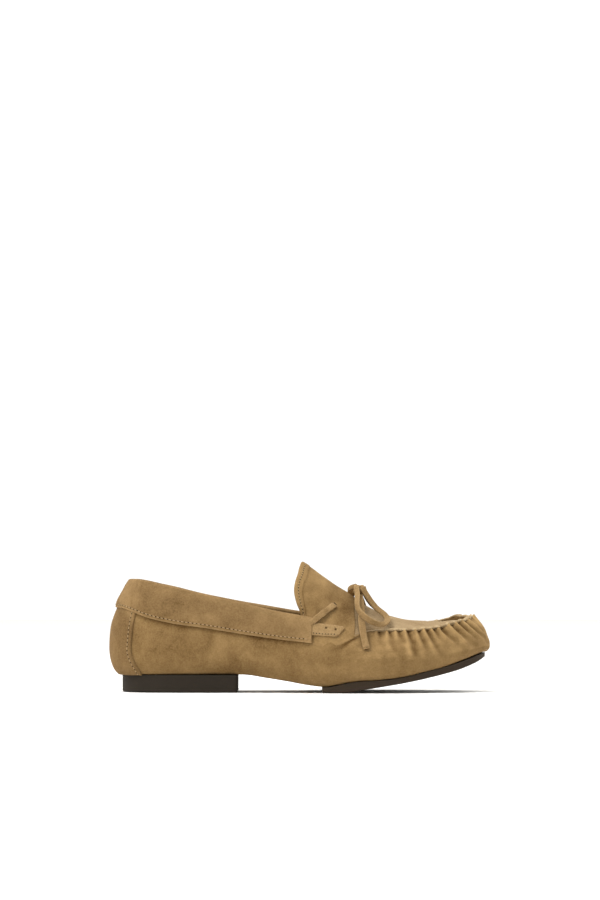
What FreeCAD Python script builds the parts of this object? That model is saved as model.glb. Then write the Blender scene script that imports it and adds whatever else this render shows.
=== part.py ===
"""A suede moccasin for the right foot, with a low separate heel, a rubber half sole and a lace tied in a bow.

Millimetres. +X runs from heel to toe, +Y to the big-toe side (medial), -Y to the outer side (lateral), +Z up.
The origin is on the ground, under the middle of the shoe's length and width.

Every upper piece lies on one base surface, the outer face of the moccasin body. A point of that surface is
named by a place on the plan outline (u, once round from the heel) and a height (z). Each outline point
looks towards a spine down the middle of the shoe, and the side wall leans in along that ray.
"""

import FreeCAD
import Part
import math
import os

V = FreeCAD.Vector

# Driving dimensions
LENGTH = 285.0
HALF = LENGTH / 2
HEEL_HEIGHT = 13.0  # ground to the underside of the upper at the heel
LIFT_THICKNESS = 3.2  # the wearing layer under the heel block
HEEL_BREAST_X = -47.0  # front face of the heel
SOLE_REAR_X = 16.0  # rear end of the half sole
SUEDE = 1.8
STRIP = 1.4  # back strip and lace tabs
LINING = 1.0
COUNTER = 1.2
BOARD = 3.0  # insole board
SOCK = 1.2
LACE_WIDTH = 4.2
LACE_THICKNESS = 1.8
CLEAR = 0.25  # play between neighbouring soft pieces
SEAM_CLEAR = 0.4  # play over the body's heel seam, inside and outside
PLUG_INSET = 2.2  # from the body's top edge in to the plug
COLLAR_FRONT_X = 8.2
TONGUE_HINGE_X = 14.0  # where the free tongue bends up from the sewn saddle
SADDLE_FRONT_X = 39.5
SEAM_START_X = 53.0  # where the gathered apron seam begins
SPINE_HEEL_X = -HALF + 38.0
SPINE_TOE_X = HALF - 40.0

LATERAL, MEDIAL = -1, 1


def curve(*knots):
    """A smooth function through (x, value) knots, level outside them."""
    xs = [k[0] for k in knots]
    vs = [k[1] for k in knots]
    steps = [(vs[i + 1] - vs[i]) / (xs[i + 1] - xs[i]) for i in range(len(xs) - 1)]
    slopes = [steps[0]] + [(a + b) / 2 for a, b in zip(steps, steps[1:])] + [steps[-1]]

    def at(x):
        if x <= xs[0]:
            return vs[0]
        if x >= xs[-1]:
            return vs[-1]
        i = max(j for j in range(len(xs) - 1) if xs[j] <= x)
        h = xs[i + 1] - xs[i]
        s = (x - xs[i]) / h
        return (
            vs[i] * (1 + 2 * s) * (1 - s) ** 2
            + vs[i + 1] * s * s * (3 - 2 * s)
            + h * s * (1 - s) * (slopes[i] * (1 - s) - slopes[i + 1] * s)
        )

    return at


# Plan outline at the widest girth: a centre line, and a fullness times an ellipse on each side of it.
CENTRE = curve((-HALF, 0), (0, 1.0), (70, 3.2), (HALF, 7.0))
FULLNESS = {
    LATERAL: curve((-HALF, 69), (-105, 51), (-70, 40.9), (-30, 39.3), (0, 44), (35, 53.5), (70, 59.4),
                   (100, 64), (120, 67.5), (HALF, 70)),
    MEDIAL: curve((-HALF, 69), (-105, 50.3), (-70, 38.3), (-30, 32.3), (0, 35.5), (35, 46.5), (60, 52),
                  (90, 55.3), (110, 57.8), (125, 60), (HALF, 66)),
}

# Heights along the shoe
UNDERSIDE = curve((-50, HEEL_HEIGHT), (-40, 12.8), (-27, 10.8), (-9, 7.9), (8, 5.0), (18, 4.2), (27, 5.6),
                  (36, 7.6), (59, 9.4), (75, 11.3), (90, 14.8), (105, 18.5), (120, 23), (138, 29.3))
SOLE_BOTTOM = curve((16, 0), (34, 0.2), (45, 1.9), (60, 4.2), (75, 6.7), (90, 9.7), (105, 13.2), (120, 17.4),
                    (131, 21.8), (139, 26.0))
GIRTH_ABOVE_UNDERSIDE = curve((-HALF, 20), (-50, 17), (60, 15), (100, 11), (HALF, 4.5))
CROWN = curve((-HALF, 105), (-100, 111), (-50, 107), (0, 97.5), (17.6, 85.6), (35.5, 73), (52, 62.5),
              (70, 58.5), (94, 59.5), (120, 61.5), (HALF, 63))
PLUG_TOP = curve((36, 72.7), (52, 62.3), (70, 55.6), (85, 52.9), (105, 52.2), (120, 53), (HALF, 54))
BELLY_SHARE = curve((-HALF, 0.5), (-50, 0.5), (0, 0.38), (40, 0.26), (53, 0.22), (80, 0.36), (110, 0.46),
                    (HALF, 0.45))
SHOULDER_SHARE = curve((-HALF, 0.5), (-50, 0.5), (0, 0.48), (40, 0.3), (53, 0.22), (80, 0.4), (110, 0.5),
                       (HALF, 0.52))
TUCK = curve((-HALF, 9), (-20, 12), (40, 9), (100, 7), (HALF, 5))  # how far the wall rounds under
TOPLINE = {
    LATERAL: curve((-HALF, 85.6), (-130, 84.4), (-104, 80), (-68, 71.6), (-45, 66.4), (-15, 60.0), (8, 55.5)),
    MEDIAL: curve((-HALF, 85.6), (-130, 84.4), (-104, 80), (-68, 71.6), (-45, 67.2), (-15, 62.0), (8, 58.0)),
}
COLLAR_LOW = curve((-HALF, 62.5), (-136, 62), (-127, 59.5), (-115, 55.5), (-95, 51), (-70, 47.5),
                   (-45, 43.5), (-20, 39.8), (8, 36.5))
RIDGE = {
    LATERAL: curve((53, 46), (70, 46.6), (94, 47.6), (105, 49.6), (120, 52.2), (132, 54.2), (HALF, 56)),
    MEDIAL: curve((53, 49.5), (70, 51), (94, 52.5), (105, 54), (120, 56.2), (132, 57), (HALF, 56)),
}
BODY_TOP = {
    side: curve((-HALF, 84), (-104, 78.6), (-45, 65 + 0.4 * side), (-6, 57.5 + side), (8, 54 + side),
                (14, 53.6 + side), (38, 50 + side), (SEAM_START_X, 46.8 + 1.7 * side))
    for side in (LATERAL, MEDIAL)
}


def spine_point(x):
    x = min(max(x, SPINE_HEEL_X), SPINE_TOE_X)
    return V(x, CENTRE(x), 0)


def place(u):
    """The outline point at u, the ray towards the spine from there, and its length."""
    side = LATERAL if u <= 0.5 else MEDIAL
    t = 2 * u if u <= 0.5 else 2 - 2 * u
    x = -HALF * math.cos(math.pi * t)
    y = CENTRE(x) + side * FULLNESS[side](x) * math.sin(math.pi * t)
    ray = spine_point(x) - V(x, y, 0)
    reach = ray.Length
    return side, V(x, y, 0), ray.normalize(), reach


def u_at(side, x):
    """The outline parameter of the point at x on one side."""
    t = math.acos(max(-1.0, min(1.0, -x / HALF))) / math.pi
    return t / 2 if side == LATERAL else 1 - t / 2


def bisect(function, target, low, high):
    """Where a rising function reaches the target."""
    for _ in range(40):
        middle = (low + high) / 2
        low, high = (middle, high) if function(middle) < target else (low, middle)
    return low


def wall_arc(x, reach):
    """The side wall above the girth, as (height, lean) functions of a share from 0 to 1."""
    girth = UNDERSIDE(x) + GIRTH_ABOVE_UNDERSIDE(x)
    rise = CROWN(x) - girth
    shoulder = reach * (1 - SHOULDER_SHARE(x))

    def height(s):
        return girth + rise * (3 * BELLY_SHARE(x) * s * (1 - s) ** 2 + s * s * (3 - 2 * s))

    def inward(s):
        return 3 * shoulder * s * s * (1 - s) + reach * s**3

    return height, inward


def lean(x, reach, z):
    """How far in from the outline the base surface lies at height z."""
    low = UNDERSIDE(x)
    girth = low + GIRTH_ABOVE_UNDERSIDE(x)
    if z <= girth:
        share = min(1.0, (girth - z) / (girth - low))
        return TUCK(x) * (1 - math.sqrt(1 - share * share))
    height, inward = wall_arc(x, reach)
    return inward(bisect(height, z, 0.0, 1.0))


def base(u, z):
    """The point of the base surface at outline place u and height z."""
    _, start, ray, reach = place(u)
    return start + ray * lean(start.x, reach, z) + V(0, 0, z)


def skin(u, z, off):
    """The base point moved off along the outward normal; u may run past the back seam."""
    step = 1e-4
    along = base((u + step) % 1.0, z) - base((u - step) % 1.0, z)
    up = base(u % 1.0, z + 0.05) - base(u % 1.0, z - 0.05)
    return base(u % 1.0, z) + along.cross(up).normalize() * off


def spaced(a, b, n):
    """n evenly spaced values from a to b."""
    return [a + (b - a) * i / (n - 1) for i in range(n)]


def closed_solid(faces):
    """One valid solid, right way out, from faces that meet edge to edge."""
    shell = Part.makeCompound(faces)
    shell.sewShape()
    solid = Part.Solid(shell.Shells[0])
    if solid.Volume < 0:
        solid.reverse()
    return solid


def slab_between(lower, upper):
    """The solid between two point grids of the same size."""
    surfaces = []
    for grid in (lower, upper):
        surface = Part.BSplineSurface()
        surface.interpolate(grid)
        surfaces.append(surface)
    rims = []
    for surface in surfaces:
        u0, u1, v0, v1 = surface.bounds()
        rims.append([surface.uIso(u0), surface.uIso(u1), surface.vIso(v0), surface.vIso(v1)])
    sides = [Part.makeRuledSurface(a.toShape(), b.toShape()) for a, b in zip(*rims)]
    return closed_solid([s.toShape() for s in surfaces] + sides)


def patch(us, low, high, inner, outer, rows=7):
    """A piece of leather on the base surface: along us, from height low(u) to high(u), between two offsets."""
    grids = []
    for off in (inner, outer):
        grids.append([[skin(u, z, off) for z in spaced(low(u), high(u), rows)] for u in us])
    return slab_between(*grids)


def round_heel(x_medial, x_lateral, n):
    """Outline places from one side to the other round the heel."""
    return spaced(u_at(MEDIAL, x_medial) - 1, u_at(LATERAL, x_lateral), n)


def per_side(functions):
    """A height function of u from one function of x for each side."""

    def at(u):
        side, start, _, _ = place(u % 1.0)
        return functions[side](start.x)

    return at


def level(z_of_x):
    return per_side({LATERAL: z_of_x, MEDIAL: z_of_x})


def ring_outline(inset):
    """Points once round the outline, moved in by inset(x)."""
    points = []
    for u in spaced(0, 1, 73):
        _, start, ray, _ = place(u)
        points.append(start + ray * inset(start.x))
    return points


def prism(points, low=-5.0, high=120.0):
    """An upright prism on a smooth closed outline; the last point repeats the first."""
    line = Part.BSplineCurve()
    line.interpolate(points[:-1], PeriodicFlag=True)
    wire = Part.Wire(line.toShape())
    wire.translate(V(0, 0, low))
    return Part.Face(wire).extrude(V(0, 0, high - low))


def layer(low, high, x_from, x_to, n=26):
    """A sheet as wide as the shoe, between two heights given along x."""
    edges = []
    for height in (low, high):
        line = Part.BSplineCurve()
        line.interpolate([V(x, -70, height(x)) for x in spaced(x_from, x_to, n)])
        edges.append(line)
    ends = [
        Part.LineSegment(edges[0].StartPoint, edges[1].StartPoint),
        Part.LineSegment(edges[0].EndPoint, edges[1].EndPoint),
    ]
    wire = Part.Wire(Part.__sortEdges__([e.toShape() for e in edges + ends]))
    return Part.Face(wire).extrude(V(0, 140, 0))


def above(function, rise):
    return lambda x: function(x) + rise


def heel_plan():
    """Plan of the heel: the shoe's outline moved in, closed by a straight breast."""
    inset = curve((-HALF, 8.6), (-100, 6.5), (-40, 6.5))
    points = []
    for u in round_heel(HEEL_BREAST_X, HEEL_BREAST_X, 31):
        _, start, ray, _ = place(u % 1.0)
        points.append(start + ray * inset(start.x))
    line = Part.BSplineCurve()
    line.interpolate(points)
    breast = Part.LineSegment(points[-1], points[0])
    return Part.Face(Part.Wire([line.toShape(), breast.toShape()]))


def heel_layers():
    """The heel block and the wearing lift under it, with softened upright corners."""
    whole = heel_plan().extrude(V(0, 0, HEEL_HEIGHT - CLEAR))
    corners = [
        e for e in whole.Edges
        if abs(e.Vertexes[0].X - e.Vertexes[-1].X) < 0.01 and e.BoundBox.ZLength > 5 and e.BoundBox.XMax > -60
    ]
    whole = whole.makeFillet(3.0, corners)
    cut = Part.makeBox(300, 200, 50, V(-200, -100, LIFT_THICKNESS))
    lift, block = whole.cut(cut), whole.common(cut)
    rim = [e for e in lift.Edges if abs(e.BoundBox.ZMax) < 0.01]
    lift = lift.makeFillet(0.9, rim)
    return block, lift


def heel_nails():
    """Five nails driven down from inside, through the body into the heel block."""
    top = HEEL_HEIGHT + SUEDE + BOARD + 0.1
    nails = []
    for x, y in ((-124, 0), (-108, 17), (-108, -17), (-72, 15), (-72, -16)):
        shank = Part.makeCylinder(0.9, top - 4.6, V(x, y, 4.6))
        head = Part.makeCylinder(2.2, 0.8, V(x, y, top - 0.8))
        nails.append(shank.fuse(head).removeSplitter())
    return Part.makeCompound(nails)


def nail_holes():
    holes = []
    for nail in heel_nails().Solids:
        box = nail.BoundBox
        x, y = box.Center.x, box.Center.y
        holes.append(Part.makeCylinder(0.93, 30, V(x, y, 4.5)))
        holes.append(Part.makeCylinder(2.25, 5, V(x, y, box.ZMax - 0.85)))
    return Part.makeCompound(holes)


def half_sole():
    """The rubber half sole under the forefoot, with a softened lower rim."""
    inset = curve((0, 6.0), (60, 5.4), (110, 4.8), (HALF, 4.0))
    body = layer(SOLE_BOTTOM, above(UNDERSIDE, -CLEAR), SOLE_REAR_X, 150)
    shape = body.common(prism(ring_outline(inset))).Solids[0]
    rim = [
        e for e in shape.Edges
        if e.BoundBox.XLength > 60 and e.BoundBox.ZMin < 1.0 and e.BoundBox.ZLength < 32
    ]
    return shape.makeFillet(1.0, rim)


def moccasin_body():
    """One wrap of suede: the side walls all round, and the bottom joining them."""
    beside_seam = [0.0012, 0.003, 0.006]
    us = beside_seam + spaced(0.01, 0.99, 97) + [1 - u for u in reversed(beside_seam)]
    walls = patch(us, level(above(UNDERSIDE, 0.6)), body_top, -SUEDE, 0, rows=9)
    bottom = layer(UNDERSIDE, above(UNDERSIDE, SUEDE), -150, 150).common(
        prism(ring_outline(lambda x: 0.62 * TUCK(x)))
    )
    return walls.fuse(bottom)


def body_top(u):
    side, start, _, _ = place(u)
    if start.x < SEAM_START_X:
        return BODY_TOP[side](start.x)
    return RIDGE[side](start.x) - 1.0


def insole_layers():
    """The insole board, grooved for the shank, and the sock liner on it."""
    plan = prism(ring_outline(lambda x: TUCK(x) + 1.5))
    low = SUEDE + CLEAR
    board = layer(above(UNDERSIDE, low), above(UNDERSIDE, low + BOARD - 2 * CLEAR), -150, 150).common(plan)
    low += BOARD
    sock = layer(above(UNDERSIDE, low), above(UNDERSIDE, low + SOCK), -150, 150).common(plan)
    return board, sock


def waist_shank(grow=0.0):
    """A sprung steel strip that bridges heel and half sole, in a groove under the insole board."""
    low = SUEDE + CLEAR + 0.05
    strip = layer(above(UNDERSIDE, low - 5 * grow), above(UNDERSIDE, low + 1.0 + grow), -66 - grow, 24 + grow)
    half_width = 6.0 + grow
    lane = Part.makeBox(120, 2 * half_width, 60, V(-80, 1.0 - half_width, -5))
    return strip.common(lane)


def collar_band():
    """The folded cuff round the heel and quarters, with room under it for the lace."""
    us = round_heel(COLLAR_FRONT_X - 1, COLLAR_FRONT_X, 61)
    return patch(us, level(COLLAR_LOW), per_side(TOPLINE), 2.0, 3.5, rows=8)


def back_strip():
    """The outside strip that covers the heel seam."""
    us = round_heel(-120, -120, 25)
    return patch(us, level(above(UNDERSIDE, 2.4)), level(above(COLLAR_LOW, 6.0)), SEAM_CLEAR,
                 SEAM_CLEAR + STRIP, rows=10)


def heel_counter():
    """The stiffener between the body and the heel lining."""
    us = round_heel(-82, -82, 29)
    top = curve((-HALF, 62), (-110, 56), (-82, 38))
    outer = -SUEDE - SEAM_CLEAR
    return patch(us, level(above(UNDERSIDE, 7.5)), level(top), outer - COUNTER, outer)


def heel_lining():
    us = round_heel(-34, -34, 41)
    outer = -SUEDE - SEAM_CLEAR - COUNTER - CLEAR
    top = {side: above(TOPLINE[side], -2.5) for side in (LATERAL, MEDIAL)}
    return patch(us, level(above(UNDERSIDE, 8.5)), per_side(top), outer - LINING, outer)


def collar_lace():
    """The stretch of lace inside the collar, from one front end of it to the other."""
    us = round_heel(COLLAR_FRONT_X - 5.4, COLLAR_FRONT_X - 5.4, 49)
    mid = {
        LATERAL: curve((-HALF, 77), (-104, 71), (-45, 58), (8, 50.5)),
        MEDIAL: curve((-HALF, 77), (-104, 71), (-45, 58.5), (8, 52.5)),
    }
    low = {side: above(mid[side], -LACE_WIDTH / 2) for side in mid}
    high = {side: above(mid[side], LACE_WIDTH / 2) for side in mid}
    return patch(us, per_side(low), per_side(high), 0.3, 1.7, rows=4)


def seam_foot(u):
    """Height of the apron seam's foot, under its standing ridge."""
    side, start, _, _ = place(u)
    return RIDGE[side](start.x) - 3.5


def over_ray(x, y):
    """The outline place whose ray passes over (x, y)."""
    side = LATERAL if y < CENTRE(x) else MEDIAL
    if x <= SPINE_TOE_X:
        return u_at(side, x)
    hub = spine_point(x)
    bearing = math.atan2(abs(y - hub.y), x - hub.x)

    def swing(share):
        u = u_at(side, SPINE_TOE_X) + share * (0.5 - u_at(side, SPINE_TOE_X))
        start = place(u)[1]
        return -math.atan2(abs(start.y - hub.y), start.x - hub.x)

    share = bisect(swing, -bearing, 0.0, 1.0)
    return u_at(side, SPINE_TOE_X) + share * (0.5 - u_at(side, SPINE_TOE_X))


def plug_height(x, y):
    """The plug's top: the base arch above the seam's foot, flattened to the height of the plug's middle."""
    u = over_ray(x, y)
    _, start, _, reach = place(u)
    height, inward = wall_arc(start.x, reach)
    arch = height(bisect(inward, reach - (V(x, y, 0) - spine_point(x)).Length, 0.0, 1.0))
    foot = seam_foot(u)
    flatten = (PLUG_TOP(x) - foot) / (CROWN(start.x) - foot)
    return foot + (arch - foot) * flatten


def apron_plug():
    """The top of the toe: a shallow crowned plate inside the ring of the gathered seam."""
    xs, ys = spaced(SADDLE_FRONT_X - 3, 138, 29), spaced(-38, 42, 25)
    tops = [[V(x, y, plug_height(x, y)) for y in ys] for x in xs]
    lows = [[p - V(0, 0, SUEDE) for p in row] for row in tops]
    points = []
    for u in spaced(u_at(LATERAL, SADDLE_FRONT_X + 0.5), u_at(MEDIAL, SADDLE_FRONT_X + 0.5), 49):
        point, ray = base(u, body_top(u)), place(u)[2]
        points.append(V(point.x, point.y, 0) + ray * PLUG_INSET)
    front = Part.BSplineCurve()
    front.interpolate(points)
    rear = Part.LineSegment(points[-1], points[0])
    plan = Part.Face(Part.Wire([front.toShape(), rear.toShape()])).extrude(V(0, 0, 120))
    return slab_between(lows, tops).common(plan)


def instep_leather(rear, front, wings):
    """Leather arched over the instep, from rear(turn) to the front plane, down to a wing on each side.

    The turn runs from 0 at either wing's edge to 1 at the crown.
    """
    grids = {0.1: [], 0.1 + SUEDE: []}
    for share in spaced(0, 1, 9):
        rows = {sink: [] for sink in grids}
        for step in range(-16, 17):
            side = LATERAL if step < 0 else MEDIAL
            turn = 1 - abs(step) / 16
            x = rear(turn) + (front - rear(turn)) * share
            low, top = wings[side](x), CROWN(x) - 0.02
            z = low + (top - low) * math.sin(turn * math.pi / 2)
            for sink in grids:
                rows[sink].append(arch_point(side, x, z, -sink))
        for sink in grids:
            grids[sink].append(rows[sink])
    return slab_between(grids[0.1 + SUEDE], grids[0.1])


def arch_point(side, x, z, off):
    """A point of the instep arch moved off along its normal, which is level across the top."""
    u = u_at(side, x)
    crown = CROWN(x)
    if z > crown - 0.4:
        share = math.sqrt(max(0.0, (crown - z) / 0.4))
        edge = base(u, crown - 0.4)
        at = V(x, CENTRE(x) + (edge.y - CENTRE(x)) * share, crown - 0.4 * share * share)
        slope = (CROWN(x + 1) - CROWN(x - 1)) / 2
        normal = V(-slope, (at.y - CENTRE(x)) * 0.04, 1)
        normal.normalize()
        return at + normal * off
    return skin(u, z, off)


WINGS = {
    LATERAL: curve((-5, 61.5), (8, 59), (14, 56), (40, 51.5)),
    MEDIAL: curve((-5, 63.5), (8, 61), (14, 58), (40, 53.5)),
}
TONGUE_REAR = curve((0, -0.8), (0.26, -5.4), (0.54, -2.6), (1, 0.9))


def tongue():
    """The free flap that the saddle's leather runs back into."""
    return instep_leather(TONGUE_REAR, TONGUE_HINGE_X - 0.4, WINGS)


def saddle():
    """The leather sewn over the instep, in front of the tongue."""
    return instep_leather(lambda turn: TONGUE_HINGE_X + 0.4, SADDLE_FRONT_X, WINGS)


def lace_tab(side):
    """The pointed tab that shows in front of the collar, with its two punched holes."""
    rise = 0 if side == LATERAL else 1.5
    tip = 32.0
    top = curve((3, 50 + rise), (20, 49.2 + rise), (tip, 47.8 + rise))
    low = curve((3, 43 + rise), (14, 41.6 + rise), (24, 41.2 + rise), (28, 42.8 + rise), (tip, 46.6 + rise))
    us = sorted(u_at(side, x) for x in spaced(4, tip, 15))
    shape = patch(us, level(low), level(top), 0.2, 0.2 + STRIP, rows=5)
    for x, z in ((18.6, 47.0 + rise), (25.3, 46.0 + rise)):
        hole = Part.makeCylinder(0.75, 60, V(x, 0, z), V(0, side, 0))
        shape = shape.cut(hole)
    return shape


def cord(name, route):
    """A round tube along straight runs and the largest tangent arcs that they leave room for."""
    points = [V(*p) for p in route]
    radius = LACE_WIDTH / 2
    edges, at, radii = [], points[0], []
    for before, corner, after in zip(points, points[1:], points[2:]):
        back, on = before - corner, after - corner
        turn = math.pi - back.getAngle(on)
        cut = 0.45 * min(back.Length, on.Length)
        back.normalize()
        on.normalize()
        bend = cut / math.tan(turn / 2)
        middle = (back + on).normalize()
        start, end = corner + back * cut, corner + on * cut
        nearest = corner + middle * (math.hypot(bend, cut) - bend)
        edges += [Part.LineSegment(at, start).toShape(), Part.Arc(start, nearest, end).toShape()]
        radii.append(bend)
        at = end
    edges.append(Part.LineSegment(at, points[-1]).toShape())
    path = Part.Wire(edges)
    ring = Part.Wire(Part.makeCircle(radius, points[0], points[1] - points[0]))
    tube = Part.Wire(path).makePipeShell([ring], True, True)
    share = tube.Volume / (math.pi * radius**2 * path.Length)
    print("%s: length %.1f, volume share %.3f, radii %s" % (
        name, path.Length, share, " ".join("%.0f" % r for r in radii)))
    return tube


KNOT = V(43.6, 2.0, 75.8)
KNOT_RADIUS = 4.2
KNOT_LENGTH = 7.6

ROUTES = {
    "bow_loop_lateral": [
        (41.8, -4.4, 78.4), (42.8, -11.4, 72.6), (41.8, -18.6, 66.8), (42.4, -25.6, 61.8), (46.0, -32.0, 57.4),
        (52.0, -35.4, 53.6), (58.8, -34.0, 51.6), (64.6, -29.0, 51.8), (67.2, -21.6, 54.4), (65.2, -14.6, 58.2),
        (60.2, -9.8, 62.6), (55.0, -7.6, 67.8), (50.6, -6.4, 73.6), (47.0, -4.6, 78.8),
    ],
    "bow_tail_lateral": [
        (44.6, -4.6, 72.6), (46.8, -9.6, 67.6), (47.4, -15.4, 63.0), (46.9, -21.0, 58.4), (45.8, -27.4, 54.2),
        (45.6, -33.4, 49.4), (46.6, -39.8, 43.2), (48.8, -46.2, 35.8),
    ],
    "bow_loop_medial": [
        (41.4, 8.4, 78.4), (37.2, 13.4, 77.4), (35.2, 20.0, 73.6), (36.4, 27.2, 68.6), (40.4, 33.6, 63.6),
        (46.4, 36.8, 60.2), (53.6, 37.2, 57.6), (59.8, 33.0, 56.6), (61.6, 25.6, 58.4), (58.6, 18.8, 62.4),
        (52.8, 14.4, 67.6), (48.6, 11.6, 73.0), (46.8, 8.8, 78.4),
    ],
    "bow_tail_medial": [
        (43.6, 8.4, 71.8), (45.6, 13.2, 67.4), (47.2, 19.0, 63.0), (47.0, 25.0, 58.3), (46.4, 30.6, 52.8),
        (46.8, 36.0, 47.4), (47.8, 41.0, 41.8),
    ],
}


def lace_knot():
    """The knot, a barrel on the axis that the two halves of the bow swing about, on the two lace ends below."""
    start = KNOT - V(KNOT_LENGTH / 2, 0, 0)
    barrel = Part.makeCylinder(KNOT_RADIUS, KNOT_LENGTH, start, V(1, 0, 0))
    knot = barrel.makeFillet(1.6, [e for e in barrel.Edges if e.BoundBox.XLength < 0.01])
    for y in (KNOT.y - 2.2, KNOT.y + 2.2):
        foot = V(41.6, y, PLUG_TOP(41.6) + 1.3)
        knot = knot.fuse(Part.makeCylinder(1.7, 6, foot, V(0.15, 0, 1)))
    return knot.removeSplitter()


def lace_span(side):
    """The lace between the collar's front end and the slot in the saddle, lying on the leather."""
    low = {LATERAL: (10.0, 53.2), MEDIAL: (10.0, 55.2)}[side]
    high = {LATERAL: (25.4, 65.6), MEDIAL: (25.4, 67.4)}[side]
    grids = {0.35: [], 0.35 + LACE_THICKNESS: []}
    for x in spaced(low[0], high[0], 9):
        middle = low[1] + (high[1] - low[1]) * (x - low[0]) / (high[0] - low[0])
        for off in grids:
            across = spaced(-LACE_WIDTH / 2, LACE_WIDTH / 2, 5)
            grids[off].append([skin(u_at(side, x - 0.62 * w), middle + 0.78 * w, off) for w in across])
    return slab_between(grids[0.35], grids[0.35 + LACE_THICKNESS])


def build():
    block, lift = heel_layers()
    board, sock = insole_layers()
    holes = nail_holes()
    parts = {
        "heel_block": block.cut(holes),
        "heel_top_lift": lift,
        "heel_nails": heel_nails(),
        "half_sole": half_sole(),
        "moccasin_body": moccasin_body().cut(holes),
        "insole_board": board.cut(waist_shank(0.1)).cut(holes),
        "waist_shank": waist_shank(),
        "sock_liner": sock,
        "collar_band": collar_band(),
        "back_strip": back_strip(),
        "heel_counter": heel_counter(),
        "heel_lining": heel_lining(),
        "apron_plug": apron_plug(),
        "saddle": saddle(),
        "tongue": tongue(),
        "lace_tab_lateral": lace_tab(LATERAL),
        "lace_tab_medial": lace_tab(MEDIAL),
        "collar_lace": collar_lace(),
        "lace_knot": lace_knot(),
        "lace_span_lateral": lace_span(LATERAL),
        "lace_span_medial": lace_span(MEDIAL),
    }
    parts.update((name, cord(name, route)) for name, route in ROUTES.items())
    return parts


if __name__ == "__main__":
    os.makedirs("parts", exist_ok=True)
    for name, shape in build().items():
        box = shape.BoundBox
        print("%-18s valid %s solids %d volume %.0f box %.1f %.1f %.1f .. %.1f %.1f %.1f" % (
            name, shape.isValid(), len(shape.Solids), shape.Volume,
            box.XMin, box.YMin, box.ZMin, box.XMax, box.YMax, box.ZMax))
        shape.exportStep("parts/%s.step" % name)
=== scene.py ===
import math

import bmesh
import bpy
import numpy as np
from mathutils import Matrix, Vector, geometry


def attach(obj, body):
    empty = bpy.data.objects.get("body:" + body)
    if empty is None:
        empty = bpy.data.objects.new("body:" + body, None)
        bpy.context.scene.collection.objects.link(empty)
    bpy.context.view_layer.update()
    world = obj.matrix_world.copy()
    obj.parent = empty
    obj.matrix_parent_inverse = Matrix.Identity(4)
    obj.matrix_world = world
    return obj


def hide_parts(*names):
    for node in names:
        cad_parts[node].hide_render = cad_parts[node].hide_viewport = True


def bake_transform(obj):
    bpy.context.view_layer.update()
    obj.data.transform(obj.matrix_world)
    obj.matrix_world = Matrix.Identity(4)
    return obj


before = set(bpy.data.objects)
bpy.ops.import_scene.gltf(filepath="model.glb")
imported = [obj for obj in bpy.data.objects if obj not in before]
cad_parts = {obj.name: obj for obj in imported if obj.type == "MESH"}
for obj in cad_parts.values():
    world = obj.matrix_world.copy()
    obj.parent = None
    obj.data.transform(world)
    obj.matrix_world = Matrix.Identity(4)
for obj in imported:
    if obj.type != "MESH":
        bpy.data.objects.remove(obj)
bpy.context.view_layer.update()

# The leather is shaped in millimetres, on the CAD's own base surface: a point of it is named by a place u on
# the plan outline (once round from the heel, by the outer side, the toe and the inner side) and a height z.
MM = 0.001
LATERAL, MEDIAL = -1, 1
HALF = 142.5  # half the length
SPINE_HEEL_X = -104.5
SPINE_TOE_X = 102.5
COLLAR_FRONT_X = 8.2
SADDLE_FRONT_X = 39.8
SUEDE = 1.6
STITCH_PITCH = 3.1
rng = np.random.default_rng(7)


def curve(*knots):
    """A smooth function through (x, value) knots, level outside them."""
    xs, vs = np.array(knots, float).T
    steps = np.diff(vs) / np.diff(xs)
    slopes = np.concatenate([steps[:1], (steps[:-1] + steps[1:]) / 2, steps[-1:]])

    def at(x):
        x = np.clip(x, xs[0], xs[-1])
        i = np.clip(np.searchsorted(xs, x, side="right") - 1, 0, len(xs) - 2)
        h = xs[i + 1] - xs[i]
        s = (x - xs[i]) / h
        ends = vs[i] * (1 + 2 * s) * (1 - s) ** 2 + vs[i + 1] * s * s * (3 - 2 * s)
        return ends + h * s * (1 - s) * (slopes[i] * (1 - s) - slopes[i + 1] * s)

    return at


CENTRE = curve((-HALF, 0), (0, 1.0), (70, 3.2), (HALF, 7.0))
FULLNESS = {
    LATERAL: curve((-HALF, 69), (-105, 51), (-70, 40.9), (-30, 39.3), (0, 44), (35, 53.5), (70, 59.4),
                   (100, 64), (120, 67.5), (HALF, 70)),
    MEDIAL: curve((-HALF, 69), (-105, 50.3), (-70, 38.3), (-30, 32.3), (0, 35.5), (35, 46.5), (60, 52),
                  (90, 55.3), (110, 57.8), (125, 60), (HALF, 66)),
}
UNDERSIDE = curve((-50, 13), (-40, 12.8), (-27, 10.8), (-9, 7.9), (8, 5.0), (18, 4.2), (27, 5.6),
                  (36, 7.6), (59, 9.4), (75, 11.3), (90, 14.8), (105, 18.5), (120, 23), (138, 29.3))
GIRTH_ABOVE_UNDERSIDE = curve((-HALF, 20), (-50, 17), (60, 15), (100, 11), (HALF, 4.5))
CROWN = curve((-HALF, 105), (-100, 111), (-50, 107), (0, 97.5), (17.6, 85.6), (35.5, 73), (52, 62.5),
              (70, 58.5), (94, 59.5), (120, 61.5), (HALF, 63))
PLUG_TOP = curve((36, 72.7), (52, 62.3), (70, 55.6), (85, 52.9), (105, 52.2), (120, 53), (HALF, 54))
BELLY_SHARE = curve((-HALF, 0.5), (-50, 0.5), (0, 0.38), (40, 0.26), (53, 0.22), (80, 0.36), (110, 0.46),
                    (HALF, 0.45))
SHOULDER_SHARE = curve((-HALF, 0.5), (-50, 0.5), (0, 0.48), (40, 0.3), (53, 0.22), (80, 0.4), (110, 0.5),
                       (HALF, 0.52))
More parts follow.
